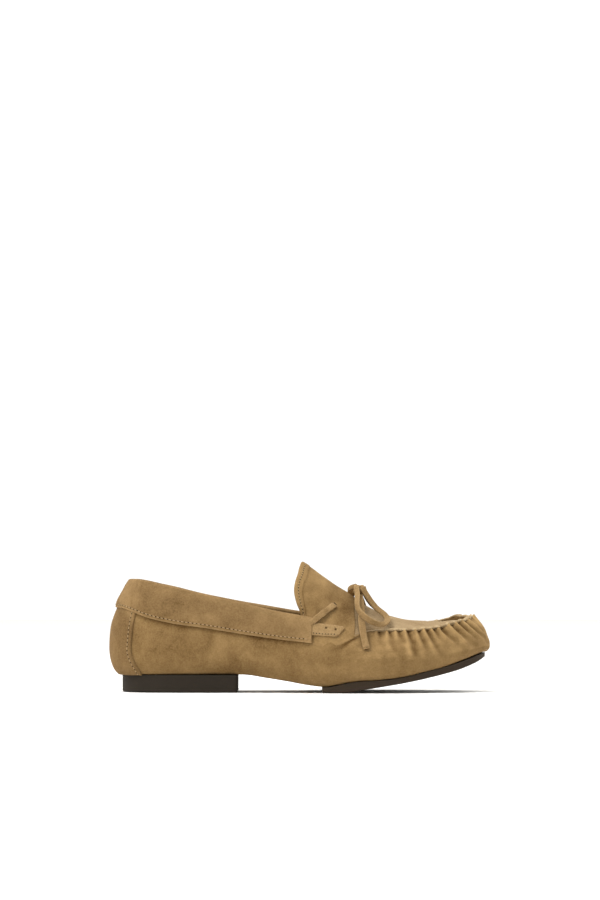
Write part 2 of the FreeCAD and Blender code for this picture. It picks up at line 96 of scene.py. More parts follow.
TUCK = curve((-HALF, 9), (-20, 12), (40, 9), (100, 7), (HALF, 5))
TOPLINE = {
    LATERAL: curve((-HALF, 85.6), (-130, 84.4), (-104, 80), (-68, 71.6), (-45, 66.4), (-15, 60.0), (8, 55.5)),
    MEDIAL: curve((-HALF, 85.6), (-130, 84.4), (-104, 80), (-68, 71.6), (-45, 67.2), (-15, 62.0), (8, 58.0)),
}
COLLAR_LOW = curve((-HALF, 62.5), (-136, 62), (-127, 59.5), (-115, 55.5), (-95, 51), (-70, 47.5),
                   (-45, 43.5), (-20, 39.8), (8, 36.5))
# The body's top edge: hidden under collar and saddle, then the gathered seam's ridge round the toe.
BODY_EDGE = {
    side: curve((-HALF, 84), (-104, 78.6), (-45, 65 + 0.4 * side), (-6, 57.5 + side), (8, 54 + side),
                (20, 50 + side), (30, 45.5 + 1.5 * side), (40, 43.7 + 1.7 * side), (46, 46.3 + 1.7 * side),
                (53, 47.7 + 1.7 * side), (70, 48.8 + 2.2 * side), (94, 49.4 + 1.8 * side),
                (105, 50.9 + 1.3 * side), (120, 53.5 + 1.3 * side), (132, 55.3 + 1.1 * side), (HALF, 56))
    for side in (LATERAL, MEDIAL)
}
LIP = curve((44, 0), (52, 1.4), (64, 3.2), (HALF, 3.2))  # how high the seam's ridge stands over the plug
RIDGE_RADIUS = 1.2  # of the body's rounded top edge


def blend_sides(side, functions, x):
    return np.where(side < 0, functions[LATERAL](x), functions[MEDIAL](x))


def place(u):
    """Side, plan position, unit ray towards the spine and its length, for outline places u."""
    u = np.asarray(u, float) % 1.0
    side = np.where(u <= 0.5, LATERAL, MEDIAL)
    t = np.where(u <= 0.5, 2 * u, 2 - 2 * u)
    x = -HALF * np.cos(np.pi * t)
    y = CENTRE(x) + side * blend_sides(side, FULLNESS, x) * np.sin(np.pi * t)
    hub = np.clip(x, SPINE_HEEL_X, SPINE_TOE_X)
    ray_x, ray_y = hub - x, CENTRE(hub) - y
    reach = np.hypot(ray_x, ray_y)
    return side, x, y, ray_x / reach, ray_y / reach, reach


def u_at(side, x):
    """The outline place at x on one side."""
    t = np.arccos(np.clip(-np.asarray(x, float) / HALF, -1, 1)) / np.pi
    return np.where(side < 0, t / 2, 1 - t / 2)


def solve(rising, target):
    """The share from 0 to 1 at which a rising function reaches the target."""
    low = np.zeros(np.shape(target))
    high = np.ones(np.shape(target))
    for _ in range(26):
        middle = (low + high) / 2
        under = rising(middle) < target
        low = np.where(under, middle, low)
        high = np.where(under, high, middle)
    return low


def wall_arc(x, reach):
    """The wall above the girth, as height and lean functions of a share from 0 to 1."""
    girth = UNDERSIDE(x) + GIRTH_ABOVE_UNDERSIDE(x)
    rise = CROWN(x) - girth
    belly = 3 * BELLY_SHARE(x)
    shoulder = 3 * reach * (1 - SHOULDER_SHARE(x))

    def height(s):
        return girth + rise * (belly * s * (1 - s) ** 2 + s * s * (3 - 2 * s))

    def inward(s):
        return shoulder * s * s * (1 - s) + reach * s**3

    return height, inward


def base(u, z):
    """Points of the base surface, as an array with x, y and z last."""
    u, z = np.broadcast_arrays(u, z)
    _, x, y, ray_x, ray_y, reach = place(u)
    belly = GIRTH_ABOVE_UNDERSIDE(x)
    girth = UNDERSIDE(x) + belly
    share = np.clip((girth - z) / belly, 0, 1)
    under = TUCK(x) * (1 - np.sqrt(1 - share**2))
    height, inward = wall_arc(x, reach)
    lean = np.where(z <= girth, under, inward(solve(height, z)))
    return np.stack([x + ray_x * lean, y + ray_y * lean, z], -1)


def unit(v):
    return v / np.maximum(np.linalg.norm(v, axis=-1, keepdims=True), 1e-9)


def normals(u, z):
    along = base(u + 1e-4, z) - base(u - 1e-4, z)
    up = base(u, z + 0.05) - base(u, z - 0.05)
    return unit(np.cross(along, up))


def skin(u, z, off):
    """Base points moved off along the outward normal."""
    u, z, off = np.broadcast_arrays(u, z, off)
    return base(u, z) + normals(u, z) * off[..., None]


def smooth(a, b, x):
    """0 before a, 1 after b, with soft ends."""
    s = np.clip((x - a) / (b - a), 0, 1)
    return s * s * (3 - 2 * s)


def bell(x, width):
    return np.exp(-((x / width) ** 2))


def waves(a, b, seed, count=5, spread=1.0):
    """A gentle random surface over two coordinates in millimetres, from about -1 to 1."""
    local = np.random.default_rng(seed)
    total = np.zeros(np.broadcast(a, b).shape)
    for _ in range(count):
        angle = local.uniform(0, 2 * np.pi)
        length = spread * local.uniform(14, 42)
        phase = local.uniform(0, 2 * np.pi)
        total = total + np.sin((a * np.cos(angle) + b * np.sin(angle)) * 2 * np.pi / length + phase)
    return total / math.sqrt(count)


def srgb(r, g, b):
    """A colour given in screen values from 0 to 255, as linear RGBA."""
    return tuple(((c / 255 + 0.055) / 1.055) ** 2.4 if c > 10 else c / 3294.6 for c in (r, g, b)) + (1.0,)


# ---- materials ----


def new_material(name):
    material = bpy.data.materials.new(name)
    material.use_nodes = True
    tree = material.node_tree
    shader = tree.nodes["Principled BSDF"]
    return material, tree, shader


def add(tree, kind, **inputs):
    node = tree.nodes.new(kind)
    for key, value in inputs.items():
        socket = node.inputs[key.replace("_", " ")]
        if isinstance(value, bpy.types.NodeSocket):
            tree.links.new(value, socket)
        else:
            socket.default_value = value
    return node


def maths(tree, operation, a, b):
    node = tree.nodes.new("ShaderNodeMath")
    node.operation = operation
    for socket, value in zip(node.inputs, (a, b)):
        if isinstance(value, bpy.types.NodeSocket):
            tree.links.new(value, socket)
        else:
            socket.default_value = value
    return node.outputs[0]


def noise(tree, where, scale, detail=3.0, roughness=0.55, distortion=0.0):
    node = add(tree, "ShaderNodeTexNoise", Vector=where, Scale=scale, Detail=detail, Roughness=roughness,
               Distortion=distortion)
    return node.outputs["Fac"]


def suede(name, dark, light, mottle=1.0):
    """Brushed suede: cloudy nap marks, a fine grain, a soft sheen, and the piece's tone attribute, which
    carries random tone and painted highlights and shade.
    """
    material, tree, shader = new_material(name)
    where = tree.nodes.new("ShaderNodeTexCoord").outputs["Object"]
    tone = tree.nodes.new("ShaderNodeAttribute")
    tone.attribute_name = "tone"
    clouds = noise(tree, where, 26.0, 3.0, 0.6, 0.6)
    strokes = noise(tree, where, 110.0, 4.0, 0.65, 0.8)
    grain = noise(tree, where, 900.0, 3.0, 0.6)
    fibres = noise(tree, where, 2600.0, 2.0, 0.6)
    mix = maths(tree, "ADD", tone.outputs["Fac"], 0.5)
    for marks, strength in ((clouds, 1.5 * mottle), (strokes, 0.7 * mottle), (grain, 0.9)):
        centred = maths(tree, "SUBTRACT", marks, 0.5)
        mix = maths(tree, "ADD", mix, maths(tree, "MULTIPLY", centred, strength))
    colour = tree.nodes.new("ShaderNodeMix")
    colour.data_type = "RGBA"
    colour.clamp_factor = False
    mix = maths(tree, "MINIMUM", maths(tree, "MAXIMUM", mix, -0.2), 1.6)
    tree.links.new(mix, colour.inputs[0])
    colour.inputs[6].default_value = srgb(*dark)
    colour.inputs[7].default_value = srgb(*light)
    rough = maths(tree, "ADD", grain, maths(tree, "MULTIPLY", fibres, 0.8))
    bump = add(tree, "ShaderNodeBump", Height=rough, Strength=0.35, Distance=0.0006)
    tree.links.new(colour.outputs[2], shader.inputs["Base Color"])
    tree.links.new(bump.outputs[0], shader.inputs["Normal"])
    shader.inputs["Roughness"].default_value = 0.95
    shader.inputs["Specular IOR Level"].default_value = 0.1
    shader.inputs["Sheen Weight"].default_value = 0.25
    shader.inputs["Sheen Roughness"].default_value = 0.6
    shader.inputs["Sheen Tint"].default_value = srgb(*light)
    return material


def plain(name, colour, roughness, spots=0.15, scale=600.0, bump_size=0.0003, metallic=0.0):
    """A matt or polished material with faint spots and a fine bump."""
    material, tree, shader = new_material(name)
    where = tree.nodes.new("ShaderNodeTexCoord").outputs["Object"]
    speckle = noise(tree, where, scale, 4.0, 0.6)
    drift = noise(tree, where, scale / 20, 2.0)
    shade = maths(tree, "ADD", maths(tree, "MULTIPLY", speckle, spots), maths(tree, "MULTIPLY", drift, spots))
    factor = maths(tree, "ADD", shade, 1.0 - spots)
    tint = tree.nodes.new("ShaderNodeMix")
    tint.data_type = "RGBA"
    tint.blend_type = "MULTIPLY"
    tint.inputs[0].default_value = 1.0
    tint.inputs[6].default_value = srgb(*colour)
    grey = add(tree, "ShaderNodeCombineColor", Red=factor, Green=factor, Blue=factor)
    tree.links.new(grey.outputs[0], tint.inputs[7])
    bump = add(tree, "ShaderNodeBump", Height=speckle, Strength=0.4, Distance=bump_size)
    tree.links.new(tint.outputs[2], shader.inputs["Base Color"])
    tree.links.new(bump.outputs[0], shader.inputs["Normal"])
    shader.inputs["Roughness"].default_value = roughness
    shader.inputs["Specular IOR Level"].default_value = 0.3
    shader.inputs["Metallic"].default_value = metallic
    return material


BODY_SUEDE = suede("body_suede", (88, 65, 35), (140, 113, 74))
COLLAR_SUEDE = suede("collar_suede", (88, 66, 38), (140, 113, 76))
# The plug's suede is the body's leather painted lighter and paler, for the top light and sheen on its upward
# face.
PLUG_SUEDE = suede("plug_suede", (108, 85, 55), (168, 147, 114), mottle=0.6)
LACE_SUEDE = suede("lace_suede", (98, 74, 43), (156, 129, 90), mottle=0.7)
THREAD = plain("thread", (152, 127, 90), 0.8, bump_size=0.0001, scale=2500)
# Dark grains for needle holes and the lace slot: painted shade standing for the hollow of each hole.
HOLE = plain("needle_hole", (34, 24, 14), 1.0)
HEEL_RUBBER = plain("heel_rubber", (36, 29, 20), 0.85, spots=0.2, scale=900)
SOLE_RUBBER = plain("sole_rubber", (49, 38, 26), 0.85, spots=0.2, scale=900)
LINING = plain("lining_leather", (176, 150, 112), 0.6, scale=400)
BOARD = plain("board", (150, 128, 98), 0.9, scale=1200)
STEEL = plain("steel", (150, 150, 150), 0.35, scale=800, metallic=1.0)


# ---- meshes ----


def piece(name, points, faces, material, body="shoe", tone=None, nodes=(), weld=True):
    """A finished piece from points in millimetres; body=None leaves it free to be blended."""
    mesh = bpy.data.meshes.new(name)
    mesh.from_pydata((np.reshape(points, (-1, 3)) * MM).tolist(), [], faces)
    if tone is not None:
        layer = mesh.attributes.new("tone", "FLOAT", "POINT")
        layer.data.foreach_set("value", np.ravel(tone).astype(np.float32))
    work = bmesh.new()
    work.from_mesh(mesh)
    if weld:
        bmesh.ops.remove_doubles(work, verts=work.verts, dist=1e-6)
    bmesh.ops.recalc_face_normals(work, faces=work.faces)
    work.to_mesh(mesh)
    work.free()
    mesh.polygons.foreach_set("use_smooth", [len(face.vertices) <= 4 for face in mesh.polygons])
    mesh.materials.append(material)
    obj = bpy.data.objects.new(name, mesh)
    bpy.context.scene.collection.objects.link(obj)
    if body:
        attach(obj, body)
    if nodes:
        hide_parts(*nodes)
    return obj


def grid_faces(rows, columns, wrap=False, first=0):
    """Quads over a grid of points stored row by row."""
    faces = []
    for r in range(rows - 1):
        for c in range(columns if wrap else columns - 1):
            n = (c + 1) % columns
            at = first + r * columns
            faces.append((at + c, at + n, at + columns + n, at + columns + c))
    return faces


def end_caps(rows, around):
    """The two faces that close a tube of rows of points."""
    last = (rows - 1) * around
    return [tuple(range(around)), tuple(last + k for k in range(around))]


def rim_of(rows, columns):
    """Indices once round the edge of a grid."""
    top = list(range(columns))
    right = [r * columns + columns - 1 for r in range(1, rows)]
    bottom = [(rows - 1) * columns + c for c in range(columns - 2, -1, -1)]
    left = [r * columns for r in range(rows - 2, 0, -1)]
    return top + right + bottom + left


def slab(outer, inner, bulge=0.7):
    """Points and faces of a leather sheet between two grids, its cut edge rounded by the bulge."""
    rows, columns = outer.shape[:2]
    flat_outer, flat_inner = outer.reshape(-1, 3), inner.reshape(-1, 3)
    rim = rim_of(rows, columns)
    nearest = []
    for i in rim:
        r, c = divmod(i, columns)
        nearest.append(min(max(r, 1), rows - 2) * columns + min(max(c, 1), columns - 2))
    away = unit(flat_outer[rim] - flat_outer[nearest])
    thickness = np.linalg.norm(flat_outer[rim] - flat_inner[rim], axis=-1, keepdims=True)
    middle = (flat_outer[rim] + flat_inner[rim]) / 2 + away * thickness * bulge / 2
    count = rows * columns
    faces = grid_faces(rows, columns) + grid_faces(rows, columns, first=count)
    for k in range(len(rim)):
        n = (k + 1) % len(rim)
        faces.append((rim[k], rim[n], 2 * count + n, 2 * count + k))
        faces.append((2 * count + k, 2 * count + n, count + rim[n], count + rim[k]))
    return np.concatenate([flat_outer, flat_inner, middle]), faces


def slab_tone(values, rim_value):
    """Tone for a slab's points: the outer grid's, the same inside, and one value for the cut edge."""
    rows, columns = values.shape
    rim = np.full(len(rim_of(rows, columns)), rim_value)
    return np.concatenate([values.ravel(), values.ravel(), rim])


def along(points, ups, pitch, first=0.5):
    """Points, tangents and outward directions evenly spaced along a polyline."""
    points, ups = np.asarray(points), np.asarray(ups)
    length = np.concatenate([[0], np.cumsum(np.linalg.norm(np.diff(points, axis=0), axis=1))])
    at = np.arange(first * pitch, length[-1], pitch)

    def read(values, where):
        return np.stack([np.interp(where, length, values[:, k]) for k in range(3)], -1)

    tangents = unit(read(points, at + 0.6) - read(points, at - 0.6))
    return read(points, at), tangents, unit(read(ups, at))


def grains(spots, tangents, ups, size):
    """Points and faces of small rounded grains of size (length, width, height), one at each spot."""
    rings, around = 5, 8
    polar = np.linspace(0, np.pi, rings + 2)[1:-1]
    turn = np.linspace(0, 2 * np.pi, around, endpoint=False)
    ball = [[math.cos(p), math.sin(p) * math.cos(t), math.sin(p) * math.sin(t)] for p in polar for t in turn]
    ball = np.array(ball + [[1, 0, 0], [-1, 0, 0]])
    across = unit(np.cross(ups, tangents))
    ups = unit(np.cross(tangents, across))
    count = len(ball)
    points = (
        spots[:, None]
        + tangents[:, None] * ball[None, :, :1] * size[0] / 2
        + across[:, None] * ball[None, :, 1:2] * size[1] / 2
        + ups[:, None] * ball[None, :, 2:] * size[2] / 2
    )
    one = grid_faces(rings, around, wrap=True)
    one += [(k, (k + 1) % around, count - 2) for k in range(around)]
    last = (rings - 1) * around
    one += [(last + k, last + (k + 1) % around, count - 1) for k in range(around)]
    faces = [tuple(i + n * count for i in face) for n in range(len(spots)) for face in one]
    return points.reshape(-1, 3), faces


def merge(parts):
    """One set of points and faces from several."""
    points, faces, count = [], [], 0
    for some_points, some_faces in parts:
        points.append(some_points)
        faces += [tuple(i + count for i in face) for face in some_faces]
        count += len(some_points)
    return np.concatenate(points), faces


threads, needle_holes = [], []


def stitches(line, ups, pitch=STITCH_PITCH, thread=(2.0, 0.62, 0.5), hole=(1.0, 0.85, 0.3)):
    """A row of thread stitches with a needle hole between each two, each hole a dark grain of painted shade.
    """
    spots, tangents, outward = along(line, ups, pitch)
    threads.append(grains(spots + outward * 0.1, tangents, outward, thread))
    spots, tangents, outward = along(line, ups, pitch, first=0.0)
    needle_holes.append(grains(spots, tangents, outward, hole))


# ---- the body: bottom, walls and gathered seam ----


def body_edge(u):
    side, x = place(u)[:2]
    return blend_sides(side, BODY_EDGE, x)


seam_u = np.linspace(u_at(LATERAL, 50.0), u_at(MEDIAL, 50.0), 1200)
seam_line = base(seam_u, body_edge(seam_u))
seam_length = np.concatenate([[0], np.cumsum(np.linalg.norm(np.diff(seam_line, axis=0), axis=1))])


def seam_at(u):
    """Distance along the seam at outline places, extended straight past its ends."""
    rate = seam_length[-1] / (seam_u[-1] - seam_u[0])
    past = np.minimum(u - seam_u[0], 0) + np.maximum(u - seam_u[-1], 0)
    return np.interp(u, seam_u, seam_length) + past * rate


TOE_S = float(seam_at(0.5))
# Each pleat of the outer side: where it meets the seam along x, its height, and how far it runs down.
PLEATS = [
    (56.0, 0.7, 7.0), (63.8, 1.2, 10.0), (70.4, 0.8, 7.0), (77.2, 1.5, 16.0), (84.7, 1.6, 13.0),
    (90.7, 1.5, 15.0), (96.2, 1.3, 10.0), (101.2, 1.6, 14.0), (108.7, 1.7, 15.0), (113.9, 1.5, 12.0),
    (118.4, 1.6, 13.0), (122.9, 1.4, 10.0), (127.2, 1.3, 9.0), (130.6, 1.1, 8.0),
]


LOW_PLEAT = 0.75  # pleats lower than this show no hole


def pleat_list():
    """Pleats as (distance along the seam, slope, height, run): the outer side, the tip, the inner side."""
    half = seam_u <= 0.5
    made = []
    for x, rise, run in PLEATS:
        s = float(np.interp(x, seam_line[half, 0], seam_length[half]))
        slope = 0.58 * float(smooth(58, 104, x)) * (1 - float(smooth(120, 133, x)))
        run *= 1 + 0.3 * float(smooth(70, 100, x))
        made.append((s, slope, rise, run))
        mirrored = 2 * TOE_S - s + rng.uniform(-1.2, 1.2)
        made.append((mirrored, -slope, rise * rng.uniform(0.85, 1.1), run * rng.uniform(0.85, 1.1)))
    for s in (TOE_S - 3.4, TOE_S + 3.6):
        made.append((s, 0.0, 1.0, 7.0))
    return sorted(made)


PLEAT_LIST = pleat_list()


def gathers(u, depth):
    """Offset and tone of the gathered leather at a depth below the seam's edge; the tone is painted highlight
    on the crests and painted shade in the valleys.
    """
    s = seam_at(u)
    offset = np.zeros(np.broadcast(u, depth).shape)
    tone = np.zeros(offset.shape)
    for centre, slope, rise, run in PLEAT_LIST:
        ahead = 1.0 if centre < TOE_S else -1.0
        away = (s - centre - slope * depth) * ahead
        fade = np.exp(-((np.maximum(depth, 0) / run) ** 2))
        width = 1.15 + 0.085 * depth
        crest = bell(away, width)
        valley = bell(away - 2.35 - 0.13 * depth, 1.15 * width)
        offset += 1.25 * rise * fade * (crest - 0.75 * valley)
        tone += fade * (0.75 * crest - 0.68 * valley)
    return offset, tone


def dents(u, z):
    """Slow unevenness of the soft leather, none at the heel's stiffened part."""
    side, x = place(u)[:2]
    s = x + side * 90
    softness = 0.15 + 0.85 * smooth(-70, 40, x)
    return softness * (0.35 * waves(s, z, 11) + 0.16 * waves(s, z, 12, spread=0.45))


def heel_tuck(u, z):
    """How far the top of the heel leans in beyond the base surface."""
    from_heel = np.abs((np.asarray(u) + 0.5) % 1.0 - 0.5)
    return -3.3 * (1 - smooth(0.03, 0.11, from_heel)) * smooth(46, 78, z)


CREASE = curve((6, 33.5), (14, 31.5), (24, 32.0), (32, 35.0), (38, 39.5), (44, 43.0))


def crease(x, z, side):
    """The fold that runs down from the throat, under the saddle's edge: its offset and its painted shade."""
    along = smooth(16, 38, x) * (1 - smooth(40, 47, x))
    away = z - CREASE(x) - 1.5 * (side > 0)
    return -0.5 * along * bell(away, 2.2) + 0.35 * along * bell(away + 5, 4), -0.65 * along * bell(away, 1.8)


def moccasin_body():
    columns = 1300
    wall_rows = 52
    u = np.linspace(0, 1, columns, endpoint=False)
    side, x, y, ray_x, ray_y, reach = place(u)
    edge = body_edge(u)
    lip = LIP(x)
    rows, tones = [], []

    def keep(points, tone):
        rows.append(points)
        tones.append(np.broadcast_to(tone, u.shape))

    for share in (1.0, 0.8, 0.6, 0.4, 0.2, 0.08):
        inset = TUCK(x) + (reach - TUCK(x)) * share
        px, py = x + ray_x * inset, y + ray_y * inset
        keep(np.stack([px, py, UNDERSIDE(px)], -1), -0.1)
    belly = GIRTH_ABOVE_UNDERSIDE(x)
    girth = UNDERSIDE(x) + belly
    for angle in np.linspace(0, np.pi / 2, 10)[:-1]:
        z = girth - belly * np.cos(angle)
        px = x + ray_x * TUCK(x) * (1 - np.sin(angle))
        py = y + ray_y * TUCK(x) * (1 - np.sin(angle))
        offset = dents(u, z) * np.sin(angle)
        out = np.stack([-ray_x, -ray_y, np.zeros(columns)], -1)
        keep(np.stack([px, py, z], -1) + out * offset[:, None], 0.0)
    wall_top = edge - RIDGE_RADIUS
    for share in np.linspace(0, 1, wall_rows):
        z = girth + (wall_top - girth) * share
        gather, tone = gathers(u, edge - z)
        active = smooth(44, 56, x)
        drop = smooth(0, 6, edge - z)
        offset = gather * active + dents(u, z) * (0.4 + 0.6 * drop)
        # Painted shadow just under the collar's low edge; the pleats' tone added below is painted highlight
        # on crests and painted shade in valleys.
        under_collar = -0.35 * bell(z - COLLAR_LOW(x) + 0.8, 2.2) * (1 - smooth(4, 10, x))
        # Painted shade in the crease under the saddle's edge, and a soft broad patch of painted shade below
        # the saddle.
        fold, shade = crease(x, z, side)
        shade = shade - 0.22 * bell(x - 18, 22) * bell(z - 26, 8)
        # Painted highlight: the wall lighter towards the toe, with random mottling added; the streak below
        # one outer pleat is a painted highlight too.
        light = 0.06 * smooth(30, 60, x) + 0.2 * smooth(60, 120, x)
        light = light + 0.13 * waves(x + side * 90, z, 13, spread=0.35) * smooth(30, 70, x)
        painted_highlight_streak = bell(x - 79.5 + 0.1 * (z - 30), 2.4) * bell(z - 31, 7) * (side < 0)
        light = light + 0.35 * painted_highlight_streak
        keep(skin(u, z, offset + fold + heel_tuck(u, z)), tone * active + under_collar + shade + light)
    gather, tone = gathers(u, np.zeros(columns))
    active = smooth(44, 56, x)
    gather, tone = gather * active, tone * active
    inward = np.stack([ray_x, ray_y, np.zeros(columns)], -1)
    crest_off = 0.32 * gather + dents(u, wall_top) * 0.4 + heel_tuck(u, edge)
    crest = base(u, wall_top) + normals(u, wall_top) * crest_off[:, None]
    scallop = 0.1 * gather * smooth(44, 60, x)
    # Painted highlight along the top of the seam's ridge, and painted shade on its inner side down to the
    # plug.
    for angle in np.linspace(0.35, np.pi, 7):
        across = 1.15 * (1 - np.cos(angle))
        height = RIDGE_RADIUS * np.sin(angle) + scallop * np.sin(angle)
        lifted = crest + inward * across
        lifted[:, 2] += height
        keep(lifted, 1.0 * np.sin(angle) * active + 0.2 * tone)
    for drop in (0.4, 1.0):
        lifted = crest + inward * (2.35 + 0.2 * drop)
        lifted[:, 2] -= lip * drop
        keep(lifted, -0.25 * active)
    for share in np.linspace(0.0, 1.0, 8):
        low = UNDERSIDE(x) + 4.0
        z = (edge - 3.0 - lip) * (1 - share) + low * share
        keep(skin(u, z, -SUEDE - 1.2 + heel_tuck(u, z)), -0.2)
    points = np.stack(rows)
    faces = grid_faces(len(rows), columns, wrap=True)
    return piece("moccasin_body_leather", points, faces, BODY_SUEDE, tone=np.stack(tones),
                 nodes=["moccasin_body"])


moccasin_body()


# ---- the apron plug ----


def seam_ridge():
    """The plug's turned edge, standing along the seam; the gathers pinch it at every pleat."""
    around = 16
    u = np.linspace(u_at(LATERAL, 46.0), u_at(MEDIAL, 46.0), 900)
    _, x, _, ray_x, ray_y, _ = place(u)
    gather = gathers(u, np.zeros(u.shape))[0]
    inward = np.stack([ray_x, ray_y, np.zeros(u.shape)], -1)
    edge = body_edge(u)
    size = 0.35 + 0.65 * smooth(44, 58, x)
    s = seam_at(u)
    path = base(u, edge - RIDGE_RADIUS) + inward * (0.95 - 0.2 * gather - 0.15 * waves(s, 0.0, 26))[:, None]
    path[:, 2] += 0.7 + 0.16 * gather + 0.26 * waves(s, 0.0, 25, spread=0.4)
    ahead = unit(np.gradient(path, axis=0))
    up = unit(np.array([0, 0, 1.0]) - ahead * ahead[:, 2:])
    across = np.cross(ahead, up)
    turns = np.linspace(0, 2 * np.pi, around, endpoint=False)
    wide = 1.75 * size * (1 + 0.14 * waves(s, 0.0, 27, spread=0.4))
    high = 1.2 * size * (1 + 0.16 * waves(s, 0.0, 28, spread=0.4))
    rings = (path[:, None] + across[:, None] * (wide[:, None] * np.cos(turns))[..., None]
             + up[:, None] * (high[:, None] * np.sin(turns))[..., None])
    # Painted light: the tube lighter on top and darker underneath, lighter over the pleats' crests and darker
    # over their valleys.
    tone = 0.05 + 0.2 * gather[:, None] + 0.12 * np.sin(turns)[None, :]
    faces = grid_faces(len(u), around, wrap=True) + end_caps(len(u), around)
    piece("apron_turned_edge", rings.reshape(-1, 3), faces, PLUG_SUEDE, tone=tone, weld=False)


def pleat_holes():
    """The needle hole under the seam beside each tall pleat, a dark grain of painted shade."""
    for centre, _, rise, _ in PLEAT_LIST:
        if rise < LOW_PLEAT:
            continue
        towards_toe = 1.0 if centre < TOE_S else -1.0
        u = float(np.interp(centre + towards_toe * 2.3, seam_length, seam_u))
        z = float(body_edge(u)) - 2.3
        spot = skin(u, z, 0.1 - 0.9 * rise)[None]
        down = np.array([[0.1 * towards_toe, 0, -1.0]])
        needle_holes.append(grains(spot, down, normals(u, z)[None], (1.3, 0.7, 0.4)))


seam_ridge()
pleat_holes()


def apron_plug():
    columns, rows = 601, 44
    u = np.linspace(u_at(LATERAL, 37.0), u_at(MEDIAL, 37.0), columns)
    _, x, y, ray_x, ray_y, reach = place(u)
    edge = body_edge(u)
    lip = LIP(x)
    height, inward = wall_arc(x, reach)
    start = inward(solve(height, edge - RIDGE_RADIUS)) + 0.6 + 1.5 * smooth(44, 60, x)
    foot = edge - lip - 0.3
    gather = gathers(u, np.zeros(columns))[0] * smooth(44, 56, x)
    grid, tones = [], []
    for share in np.linspace(0, 1, rows) ** 1.25:
        across = start + (reach - start) * share
        px, py = x + ray_x * across, y + ray_y * across
        arch = height(solve(inward, np.minimum(across, reach * 0.9999)))
        flatten = (PLUG_TOP(px) - foot) / (CROWN(x) - foot)
        z = foot + (arch - foot) * flatten
        near = across - start
        z -= 1.9 * bell(near, 3.2) * smooth(50, 66, x)
        z += 0.28 * gather * np.exp(-near / 3.0) + 0.22 * waves(px, py, 21) * smooth(0, 8, near)
        grid.append(np.stack([px, py, z], -1))
        # Painted light and shade: darker towards the throat, where the plug lies in less light; painted
        # highlight over the pleats' crests and painted shade over their valleys next to the seam; painted
        # shade just inside the ridge.
        lit = -0.12 * (1 - smooth(52, 66, px))
        tones.append(0.10 * gather * np.exp(-near / 2.5) - 0.25 * np.exp(-near / 1.6) + lit)
    top = np.stack(grid)
    under = top - np.array([0, 0, SUEDE])
    points, faces = slab(top, under)
    piece("apron_plug_leather", points, faces, PLUG_SUEDE,
          tone=slab_tone(np.stack(tones), -0.2), nodes=["apron_plug"])


apron_plug()


# ---- saddle and tongue, one piece of leather ----

SADDLE_LOW = {
    side: curve((-6, 54.5 + side), (1, 53.5 + side), (4, 46), (6, 39), (COLLAR_FRONT_X, 36.5), (18, 34),
                (27, 35), (34, 38.5 + 0.6 * side), (SADDLE_FRONT_X, 42.6 + 1.6 * side))
    for side in (LATERAL, MEDIAL)
}
TONGUE_EDGE = curve((52, 1.6), (60.2, -0.2), (66, -2.6), (75.9, -4.6), (83, -3.6), (88.6, -1.7), (93, -0.6),
                    (97, 0.9))
HEM_WIDTH = 6.2
TONGUE_STITCH = 2.7


def arch_skin(side, x, z, off):
    """The instep's surface moved off along its normal, level across the crown."""
    crown = CROWN(x)
    u = u_at(side, x)
    flat = 0.4
    edge = base(u, np.minimum(z, crown - flat))
    usual = skin(u, np.minimum(z, crown - flat), off)
    share = np.sqrt(np.clip((crown - z) / flat, 0, 1))
    middle = CENTRE(x)
    at = np.stack([x, middle + (edge[..., 1] - middle) * share, crown - flat * share * share], -1)
    slope = (CROWN(x + 1) - CROWN(x - 1)) / 2
    normal = unit(np.stack([-slope, (at[..., 1] - middle) * 0.04, np.ones(x.shape)], -1))
    return np.where((z > crown - flat)[..., None], at + normal * np.asarray(off)[..., None], usual)


def saddle_point(turn, share, off_extra):
    """A saddle point: turn goes over the crown from -1 to 1, share from the tongue's edge to the front."""
    side = np.where(turn < 0, LATERAL, MEDIAL)
    rise = np.sin((1 - np.abs(turn)) * np.pi / 2)
    rear = np.zeros(turn.shape)
    for _ in range(6):  # the rear edge's x depends on its height, and its height on its x
        low = blend_sides(side, SADDLE_LOW, rear)
        rear = TONGUE_EDGE(low + (CROWN(rear) - 0.02 - low) * rise)
    x = rear + (SADDLE_FRONT_X - rear) * share
    low = blend_sides(side, SADDLE_LOW, x)
    z = low + (CROWN(x) - 0.02 - low) * rise
    behind = x - rear
    tucked = (1 - smooth(2.0, 7.0, x)) * (1 - smooth(56, 64, z))
    lapped = smooth(6, 12, x) * (1 - smooth(58, 74, z)) + smooth(24, 38, x)
    skive = smooth(-1.0, 9.0, z - low)
    edge_off = -0.45 + 0.75 * smooth(20, 34, x)
    off = -2.6 * tucked + (edge_off + (1.0 - edge_off) * skive) * np.clip(lapped, 0, 1)
    hem = 0.45 * (1 - smooth(HEM_WIDTH - 1.0, HEM_WIDTH, behind)) * smooth(0, 0.8, behind)
    sag = 0.35 * waves(x, z + 60 * side, 31) * smooth(4, 16, behind)
    return arch_skin(side, x, z, off + hem + sag * smooth(0, 5, CROWN(x) - z) + off_extra), x, z, behind


